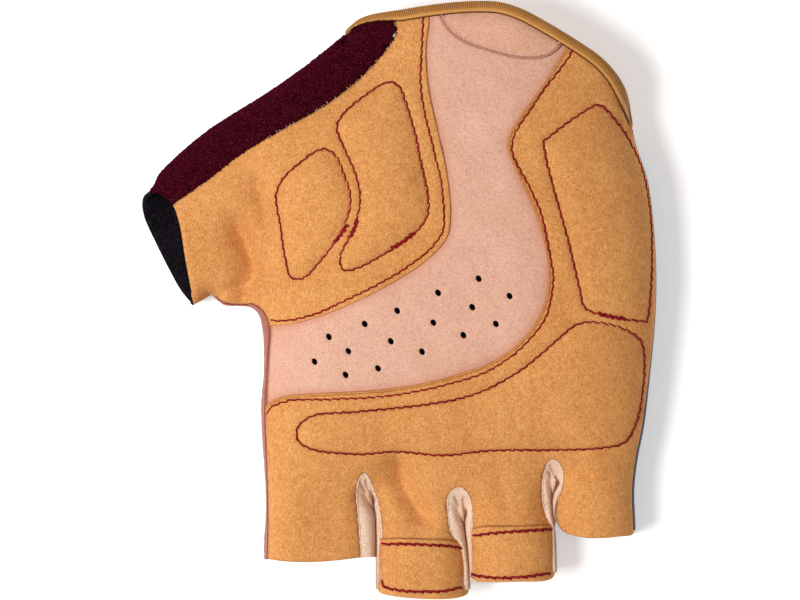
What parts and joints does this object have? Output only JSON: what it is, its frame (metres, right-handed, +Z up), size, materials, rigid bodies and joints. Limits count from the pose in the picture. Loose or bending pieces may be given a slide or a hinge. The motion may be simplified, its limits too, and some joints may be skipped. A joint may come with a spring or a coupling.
{
  "type": "cycling mitten",
  "caption": "Fingerless cycling glove for the right hand: padded suede palm, stretch back, terry thumb and an elastic-bound wrist opening.",
  "frame": {"origin": "middle of the glove's outline in plan, on the surface that its back lies on", "axes": "+Z up, out of the palm; +Y from the fingers to the wrist; the thumb points to -X"},
  "size_m": [0.1283, 0.1495, 0.0279],
  "materials": {
    "suede_tan": "brushed tan suede, matt, fine nap",
    "synthetic_pink": "pale pink synthetic leather, matt, fine grain",
    "patch_pink": "pale pink synthetic leather with a rolled double edge",
    "elastic_ochre": "ribbed fold-over elastic, slight sheen",
    "terry_burgundy": "looped terry cloth",
    "stretch_black": "matt black stretch knit",
    "stretch_navy": "fine navy stretch knit",
    "fourchette_cream": "cream synthetic suede",
    "strip_salmon": "salmon stretch fabric"
  },
  "bodies": {
    "root": {"back_panel": "stretch_navy", "thumb_back_panel": "stretch_black", "thenar_panel": "suede_tan", "centre_panel": "synthetic_pink", "palm_panel": "suede_tan", "wrist_patch": "patch_pink", "wrist_binding": "elastic_ochre", "thumb_wipe": "terry_burgundy", "index_gusset": "strip_salmon", "fourchette_index_middle": "fourchette_cream", "fourchette_middle_ring": "fourchette_cream", "fourchette_ring_little": "fourchette_cream", "pull_tab_middle": "suede_tan", "pull_tab_ring": "suede_tan"}
  },
  "joints": []
}
